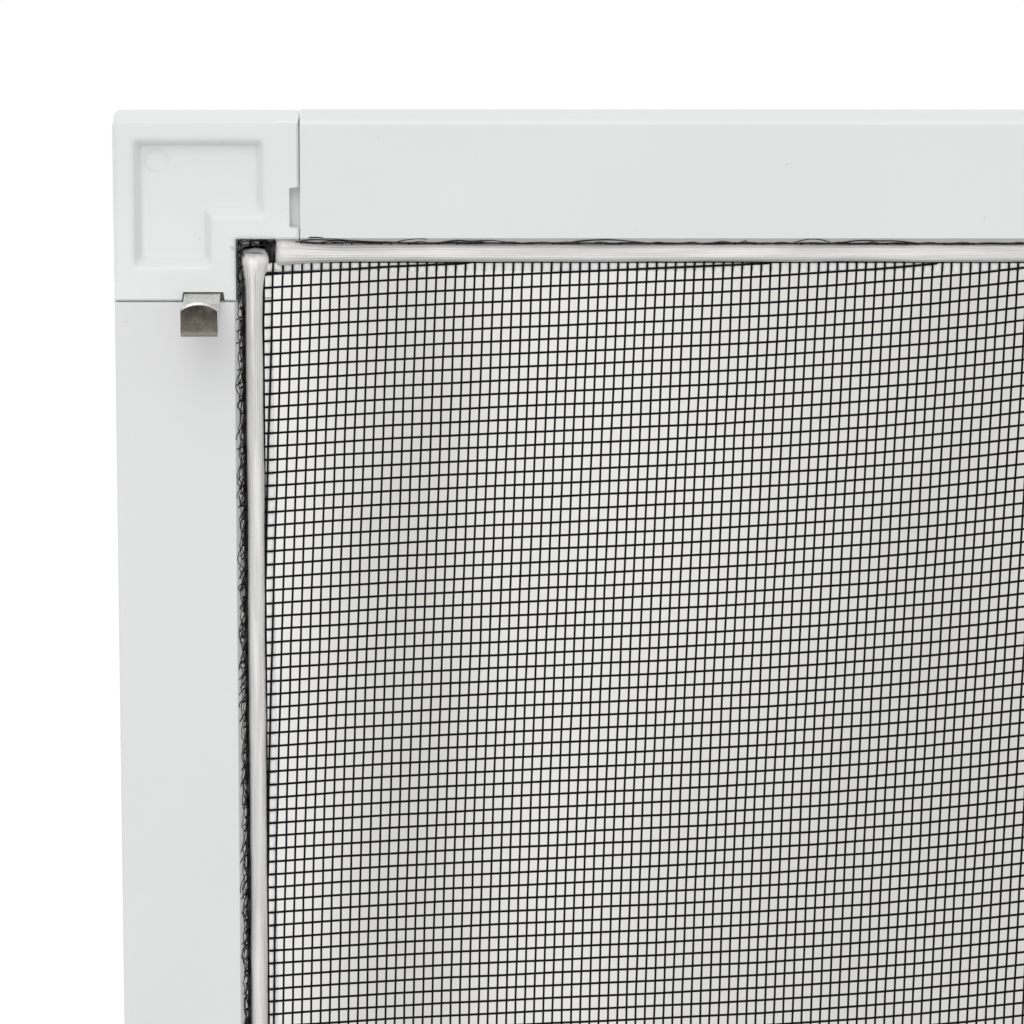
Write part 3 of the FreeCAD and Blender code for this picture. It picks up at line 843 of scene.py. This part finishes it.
# The fold between the spline ends: knots of its first strand, how far on the last one's are, and the axis
# and range of each knot's stray
FOLD_FROM = ((0.0221, 0.0185, 0.0026), (0.02245, 0.0201, 0.0027), (0.0226, 0.0216, 0.0023))
FOLD_BY = ((0.0018, 0, -0.001), (0.0011, 0, -0.001), (0.0009, 0, -0.0003))
FOLD_STRAYS = ((1, 0, 0.0004), (2, -0.0003, 0.0003), (1, 0, 0.0006))
FOLD_STRANDS = 9
FOLD_THICKNESS = (0.7, 1.05)


def add_corner_crumple(tubes, settings, rng, right, low):
    """The sheet's bunched corner: strands beside both splines and a fold between their ends."""

    def strand(knots, share):
        places = smooth_path(knots, STRAND_POINTS * len(knots))
        if right:
            places[:, 0] = WIDTH - places[:, 0]
        if low:
            places[:, 1] = HEIGHT - places[:, 1]
        tubes.add(row_points(places)[None], settings.thread / 2 * share, LOOSE_SIDES, STRAND_NORMAL)

    for swapped, stop in STRAND_RUNS:
        for _ in range(STRANDS):
            run = np.arange(STRAND_RANGE[0], stop, STRAND_STEP) + rng.uniform(*STRAND_OFFSET)
            inset = rng.uniform(*STRAND_RANGE, len(run))
            depth = rng.uniform(*STRAND_DEPTHS, len(run))
            columns = (run, inset, depth) if swapped else (inset, run, depth)
            strand(np.stack(columns, axis=-1), rng.uniform(*STRAND_THICKNESS))
    for share in np.linspace(0, 1, FOLD_STRANDS):
        knots = np.array(FOLD_FROM) + share * np.array(FOLD_BY)
        for knot, (axis, least, most) in zip(knots, FOLD_STRAYS):
            knot[axis] += rng.uniform(least, most)
        strand(knots, rng.uniform(*FOLD_THICKNESS))


class SCREEN_OT_mesh(bpy.types.Operator):
    """Weaves the insect mesh, with its edge folded into the groove"""

    bl_idname = "screen.weave_mesh"
    bl_label = "Weave mesh"

    def execute(self, context):
        settings = context.scene.screen_mesh
        colour = tuple(context.scene.screen_finish.thread)
        material = thread_material("black_thread", colour, shine=0.1, dust_and_glint=2.5)
        # The loose threads' heavy lighter dust is partly a painted glint
        loose = thread_material("loose_thread", colour, shine=0.3, dust_and_glint=24.0)
        rng = np.random.RandomState(settings.seed)
        weave = TubeSet()
        add_threads(weave, settings, rng, upright=True)
        add_threads(weave, settings, rng, upright=False)
        sheet = weave.piece("insect_mesh_weave", material, "black_mesh")
        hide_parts("insect_mesh")
        edge = TubeSet()
        add_frays(edge, settings, rng)
        add_cut_ends(edge, settings, rng)
        for right in (False, True):
            for low in (False, True):
                add_corner_crumple(edge, settings, rng, right, low)
        hem = edge.piece("insect_mesh_edge", loose, "black_mesh")
        cut = (WIDTH - 2 * FLAT_BENDS[0], HEIGHT - 2 * FLAT_BENDS[0])
        half_round = math.pi / 2 * settings.thread
        covered = half_round * (1 / settings.warp_pitch + 1 / settings.weft_pitch)
        covered * cut[0] * cut[1]
        return {"FINISHED"}


# Rings that close a spline's cut end, from its slit out: distance in from the end, shares of its size
CUT_END = (
    (0.0006, 0.42, 0.02),
    (0.0002, 0.46, 0.06),
    (0.00012, 0.5, 0.1),
    (0.0, 0.68, 0.36),
    (0.0001, 0.82, 0.62),
    (0.00035, 0.92, 0.85),
    (0.0008, 0.985, 0.97),
)
END_DEPTH = CUT_END[-1][0]
SLIT_RINGS = [0, 1, -2, -1]

# Rings between the ends: clear of the cut, a step apart in the close-up and near the far end, few between
BODY_CLEAR = 0.001
BODY_STEP = 0.0011
BODY_FAR_RINGS = 60
BODY_FAR_STOP = 0.0125
BODY_FAR_END = 0.012

# How the upright and the level splines differ: flutes near the end, width and place, cut face, side with
# painted shade
Bead = namedtuple(
    "Bead",
    "flute_start bold fade swelling spread fuller lean inner_gap slant set_back shaded_side shaded_from",
)
UPRIGHT_BEAD = Bead(0.004, 1.1, 0.022, 1.0, 0.0, 0.0, 0.06, 0.00022, 0.0006, 0.00036, -1, 0.66)
LEVEL_BEAD = Bead(0.007, 0.55, 0.014, 0.85, 0.1, 0.155, -0.27, 0.00018, 0.0003, 0.0, 1, 0.4)

# Flutes: points to a rib, range of their depths, how narrow they are, their share far from the ends
RIB_POINTS = 6
RIB_RANGE = (0.25, 1.4)
RIB_POWER = 5
FLUTE_SHARE = 0.35

# Swollen ends: reach and power of the swelling, its share in height, how far it lifts, reach of the spread
SWELL_REACH = 0.004
SWELL_POWER = 1.6
SWELL_TALL = 0.05
SWELL_LIFT = 0.0006
SPREAD_REACH = 0.012

# Depth of a spline's top, and sizes and lengths of the waves in its width, place across and depth
BEAD_TOP = 0.00095
WIDTH_WAVE = (0.018, 0.02)
PLACE_WAVE = (0.00004, 0.05)
DEPTH_WAVE = (0.00005, 0.035)

# A cut's rough face, how soon its slope eases along the bead, and how soft the edge of the painted shade on
# one side is
ROUGH_WAVES = (2, 3, 5)
ROUGH_SIZE = 0.00011
EASE_REACH = 0.0016
SHADED_SOFT = 0.3


def bead_stations(length, ends, close_up):
    """Distances along a bead, end to end, with the shares of its width and height there."""
    crease = np.array(CUT_END)
    body = np.concatenate(
        [
            np.arange(ends + BODY_CLEAR, close_up, BODY_STEP),
            np.linspace(close_up, length - ends - BODY_FAR_STOP, BODY_FAR_RINGS),
            length - ends - np.arange(BODY_CLEAR, BODY_FAR_END, BODY_STEP)[::-1],
        ]
    )
    ones = np.ones(len(body))
    run = np.concatenate([ends + crease[:, 0], body, length - ends - crease[::-1, 0]])
    wide_share, tall_share = (np.concatenate([crease[:, k], ones, crease[::-1, k]]) for k in (1, 2))
    return run, wide_share, tall_share


def spline_piece(name, upright, settings, material, seed):
    """A fluted bead squeezed into the groove, with swollen, creased cut ends."""
    rng = np.random.RandomState(seed)
    length, across = (HEIGHT, WIDTH) if upright else (WIDTH, HEIGHT)
    ends, bead = (SPLINE_ENDS, UPRIGHT_BEAD) if upright else (SPLINE_SHORT_ENDS, LEVEL_BEAD)
    run, wide_share, tall_share = bead_stations(length, ends, settings.close_up)
    gap = np.clip(np.minimum(run - ends, length - ends - run), 0, None)
    past_cut = gap - END_DEPTH

    sides = settings.ribs * RIB_POINTS
    turn = 2 * np.pi * np.arange(sides) / sides
    uneven = np.repeat(rng.uniform(*RIB_RANGE, settings.ribs), RIB_POINTS)
    groove = np.roll(uneven, -(RIB_POINTS // 2)) * (0.5 + 0.5 * np.cos(settings.ribs * turn)) ** RIB_POWER
    bold = FLUTE_SHARE + bead.bold * np.exp(-gap / bead.fade)
    sunk = (np.clip(past_cut / bead.flute_start, 0, 1) * bold)[:, None] * groove[None, :]
    flute = settings.rib_depth * sunk

    swell = settings.bulge * bead.swelling * np.exp(-((gap / SWELL_REACH) ** SWELL_POWER))
    squeeze = 1 + ripple(rng, run, 1, *WIDTH_WAVE)[0]
    spread = bead.spread * np.exp(-gap / SPREAD_REACH)
    wide_by = settings.width / 2 * squeeze * (1 + swell + spread + bead.fuller)
    tall_by = settings.height / 2 * (1 + SWELL_TALL * swell)
    shift = bead.lean * swell + spread / 2 - bead.fuller / 2
    middle = GROOVE_INNER - bead.inner_gap - settings.width / 2 + shift * settings.width
    middle = middle + ripple(rng, run, 1, *PLACE_WAVE)[0]
    deep = BEAD_TOP + settings.height / 2 - SWELL_LIFT * swell + ripple(rng, run, 1, *DEPTH_WAVE)[0]
    reach = (wide_by[:, None] - flute) * wide_share[:, None]
    rise = (tall_by[:, None] - flute) * tall_share[:, None]
    inset = middle[:, None] + reach * np.cos(turn)[None, :]
    depth = deep[:, None] - rise * np.sin(turn)[None, :]

    rough = sum(rng.uniform(-1, 1) * np.cos(k * turn + rng.uniform(0, 2 * np.pi)) for k in ROUGH_WAVES)
    ease = np.exp(-np.clip(past_cut, 0, None) / EASE_REACH) * np.where(run < length / 2, 1, -1)
    slope = bead.slant * np.sin(turn) + ROUGH_SIZE * rough
    runs = run[:, None] + ease[:, None] * (slope[None, :] * tall_share[:, None] + bead.set_back)

    if name in ("spline_right", "spline_bottom"):
        inset = across - inset
    places = np.stack([inset, runs, depth] if upright else [runs, inset, depth], axis=-1)
    faces = tube_faces(1, len(run), sides, 0)
    piece = new_piece(f"{name}_bead", row_points(places), faces, material)
    painted_shade_layer = piece.data.attributes.new("groove", "FLOAT", "POINT")
    # Painted shade: darker flutes, one darker side of the bead, and the slits
    shaded = bead.shaded_side * np.cos(turn) - bead.shaded_from
    marks = sunk + np.clip(shaded / SHADED_SOFT, 0, 1)[None, :]
    marks[SLIT_RINGS] = SLIT_MARK
    painted_shade_layer.data.foreach_set("value", marks.ravel())
    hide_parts(name)


class SCREEN_OT_splines(bpy.types.Operator):
    """Presses the four splines into the groove"""

    bl_idname = "screen.press_splines"
    bl_label = "Press splines"

    def execute(self, context):
        settings = context.scene.screen_spline
        colour = tuple(context.scene.screen_finish.vinyl)
        upright = vinyl_material("spline_vinyl_upright", colour, (1.0, 1.0, 0.05))
        level = vinyl_material("spline_vinyl_level", colour, (0.05, 1.0, 1.0))
        spline_piece("spline_left", True, settings, upright, seed=11)
        spline_piece("spline_right", True, settings, upright, seed=12)
        spline_piece("spline_top", False, settings, level, seed=13)
        spline_piece("spline_bottom", False, settings, level, seed=14)
        return {"FINISHED"}


def node_object(node):
    """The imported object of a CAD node."""
    return next(o for o in bpy.context.scene.objects if o.get("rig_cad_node") == node)


def dress_nodes(nodes, material):
    """Gives packed objects one finish."""
    for node in nodes:
        data = node_object(node).data
        data.materials.clear()
        data.materials.append(material)


class SCREEN_OT_finishes(bpy.types.Operator):
    """Gives profiles, corners and hooks their finishes"""

    bl_idname = "screen.apply_finishes"
    bl_label = "Apply finishes"

    def execute(self, context):
        finish = context.scene.screen_finish
        dress_nodes(PROFILES, coat_material(tuple(finish.coat)))
        dress_nodes(CORNERS, moulding_material(tuple(finish.moulding)))
        dress_nodes(HOOKS, steel_material(tuple(finish.steel), tuple(finish.tarnish)))
        return {"FINISHED"}


def stage_plane(name, corners, material):
    """A flat face that belongs to the stage."""
    data = bpy.data.meshes.new(name)
    data.from_pydata(corners, [], [tuple(range(len(corners)))])
    data.materials.append(material)
    plane = bpy.data.objects.new(name, data)
    bpy.context.scene.collection.objects.link(plane)
    return plane


def card_material(tone):
    """Pale paper seen from the front, glowing with painted shade of the mesh and painted light near the
    frame, clear from behind, so that the screen's back shows too.
    """
    material, graph = new_graph("painted_backing_card")
    coords = graph.coords()
    across = graph.axis(coords, 0)
    height = graph.axis(coords, 2)

    def beyond(start, stop):
        """0 left of start, 1 right of stop, both from the screen's outer left edge."""
        return across.above(start - WIDTH / 2, stop - WIDTH / 2)

    # Painted light near the frame's left edge and in a band beyond it, painted fold shading, painted shade
    # further in and lower down
    painted_light_near_frame = 1 - beyond(0.022, 0.042)
    swelling = beyond(0.044, 0.062) * (1 - 0.85 * beyond(0.062, 0.14))
    painted_folds = graph.noise(graph.place((1.0, 1.0, 0.35)), scale=26.0).above(0.3, 0.7)
    lower = 1 - height.above(HEIGHT - 0.16, HEIGHT - 0.03)
    fade = 0.1 * beyond(0.055, 0.12) + 0.16 * lower
    light = 0.08 + 0.6 * painted_light_near_frame + 0.4 * swelling + 0.22 * painted_folds - fade
    colour = graph.blend(light, shade(tone, 0.88), shade(tone, 1.22))
    glow = graph.add("ShaderNodeEmission", inputs={"Color": colour, "Strength": 1.0})
    clear = graph.add("ShaderNodeBsdfTransparent")
    behind = graph.add("ShaderNodeNewGeometry", output="Backfacing")
    both = graph.add("ShaderNodeMixShader", inputs={0: behind, 1: glow, 2: clear})
    graph.add("ShaderNodeOutputMaterial", inputs={"Surface": both})
    return material


def background_rays(graph):
    """1 for rays that should see the white background: camera, glossy and transmission."""
    path = [
        graph.add("ShaderNodeLightPath", output=name)
        for name in ("Is Camera Ray", "Is Glossy Ray", "Is Transmission Ray")
    ]
    return path[0].math("MAXIMUM", path[1]).math("MAXIMUM", path[2])


# How much the floor glows for the camera
FLOOR_GLOW = 0.33


def floor_material():
    """White to the camera where it is lit, darker in the object's shadow."""
    material, graph = new_graph("floor_white")
    clouds = graph.noise(graph.place(), scale=3.0)
    tone = graph.blend(clouds, (0.9, 0.9, 0.9), (0.93, 0.93, 0.93))
    paper = graph.add("ShaderNodeBsdfDiffuse", inputs={"Color": tone})
    glow = graph.add("ShaderNodeEmission", inputs={"Color": (1, 1, 1, 1), "Strength": FLOOR_GLOW})
    lit = graph.add("ShaderNodeAddShader", inputs={0: paper, 1: glow})
    both = graph.add("ShaderNodeMixShader", inputs={0: background_rays(graph), 1: paper, 2: lit})
    graph.add("ShaderNodeOutputMaterial", inputs={"Surface": both})
    return material


def light_world(ambient, lift):
    """Even light, a little stronger from above, in front of a white background."""
    world = bpy.data.worlds.new("studio")
    bpy.context.scene.world = world
    graph = Graph(world)
    direction = graph.add("ShaderNodeTexCoord", output="Generated")
    height = graph.axis(direction, 2)
    level = ambient + lift * height
    seen = background_rays(graph)
    strength = level + seen * (1 - level)
    light = graph.add("ShaderNodeBackground", inputs={"Color": (1, 1, 1, 1), "Strength": strength})
    graph.add("ShaderNodeOutputWorld", inputs={"Surface": light})


def add_lamp(name, power, size, place, target):
    """A round lamp at a place, turned towards a target."""
    data = bpy.data.lights.new(name, "AREA")
    data.energy = power
    data.shape = "DISK"
    data.size = size
    lamp = bpy.data.objects.new(name, data)
    lamp.location = place
    lamp.rotation_euler = (Vector(target) - Vector(place)).to_track_quat("-Z", "Y").to_euler()
    bpy.context.scene.collection.objects.link(lamp)


# The photograph's camera in the row's frame: metres, degrees
CAMERA_PLACE = (0.05308 - WIDTH / 2, -1.0861 - DEPTH / 2, HEIGHT + 0.25357)
CAMERA_YAW = -0.309
CAMERA_PITCH = -16.098
CAMERA_ROLL = -0.093
SENSOR_WIDTH = 36.0
CLIP_START = 0.01
CLIP_END = 50.0

# The key lamp, and the place that it points at
KEY_SIZE = 1.3
KEY_PLACE = (-0.66, -1.15, 2.1)
KEY_TARGET = (-WIDTH / 2 + 0.07, 0.0, HEIGHT - 0.07)

# Half the floor's width, and its level, just under the screen
FLOOR_REACH = 4.0
FLOOR_LEVEL = -0.0006


def add_camera(lens):
    """The camera at the photograph's place."""
    data = bpy.data.cameras.new("photo_camera")
    data.sensor_width = SENSOR_WIDTH
    data.lens = lens
    data.clip_start = CLIP_START
    data.clip_end = CLIP_END
    camera = bpy.data.objects.new("photo_camera", data)
    turn = Matrix.Rotation(math.radians(CAMERA_YAW), 4, "Z")
    turn = turn @ Matrix.Rotation(math.radians(90 + CAMERA_PITCH), 4, "X")
    turn = turn @ Matrix.Rotation(math.radians(-CAMERA_ROLL), 4, "Z")
    camera.matrix_world = Matrix.Translation(CAMERA_PLACE) @ turn
    bpy.context.scene.collection.objects.link(camera)
    bpy.context.scene.camera = camera


class SCREEN_OT_stage(bpy.types.Operator):
    """Sets floor, backing card, light and camera"""

    bl_idname = "screen.set_stage"
    bl_label = "Set stage"

    def execute(self, context):
        settings = context.scene.screen_stage
        square = ((-1, -1), (1, -1), (1, 1), (-1, 1))
        flat = [(x * FLOOR_REACH, y * FLOOR_REACH, FLOOR_LEVEL) for x, y in square]
        stage_plane("floor", flat, floor_material())
        back = DEPTH / 2 + settings.card_gap
        side = WIDTH / 2 - GROOVE_INNER / 2
        low, high = GROOVE_INNER / 2, HEIGHT - GROOVE_INNER / 2
        card = stage_plane(
            "painted_backing_card",
            [(-side, back, low), (side, back, low), (side, back, high), (-side, back, high)],
            card_material(tuple(settings.card)),
        )
        for rays in ("shadow", "diffuse", "glossy", "transmission"):
            setattr(card, f"visible_{rays}", False)
        light_world(settings.ambient, settings.overhead)
        add_lamp("key", settings.key, KEY_SIZE, KEY_PLACE, KEY_TARGET)
        add_camera(settings.lens)
        context.scene.view_settings.view_transform = "Standard"
        return {"FINISHED"}


class SCREEN_PT_panel(bpy.types.Panel):
    bl_idname = "SCREEN_PT_panel"
    bl_label = "Insect Screen"
    bl_space_type = "VIEW_3D"
    bl_region_type = "UI"
    bl_category = "Insect Screen"

    def draw(self, context):
        scene = context.scene
        for heading, group, operator in (
            ("Mesh", scene.screen_mesh, "screen.weave_mesh"),
            ("Splines", scene.screen_spline, "screen.press_splines"),
            ("Finishes", scene.screen_finish, "screen.apply_finishes"),
            ("Stage", scene.screen_stage, "screen.set_stage"),
        ):
            box = self.layout.box()
            box.label(text=heading)
            for name in group.__annotations__:
                box.prop(group, name)
            box.operator(operator)


CLASSES = (
    ScreenMeshSettings,
    ScreenSplineSettings,
    ScreenFinishSettings,
    ScreenStageSettings,
    SCREEN_OT_mesh,
    SCREEN_OT_splines,
    SCREEN_OT_finishes,
    SCREEN_OT_stage,
    SCREEN_PT_panel,
)
GROUPS = {
    "screen_mesh": ScreenMeshSettings,
    "screen_spline": ScreenSplineSettings,
    "screen_finish": ScreenFinishSettings,
    "screen_stage": ScreenStageSettings,
}


def register():
    for item in CLASSES:
        bpy.utils.register_class(item)
    for name, group in GROUPS.items():
        setattr(bpy.types.Scene, name, bpy.props.PointerProperty(type=group))


def unregister():
    for name in GROUPS:
        delattr(bpy.types.Scene, name)
    for item in reversed(CLASSES):
        bpy.utils.unregister_class(item)


def main():
    register()
    bpy.ops.screen.set_stage()
    bpy.ops.screen.apply_finishes()
    bpy.ops.screen.press_splines()
    bpy.ops.screen.weave_mesh()


if __name__ == "__main__":
    main()
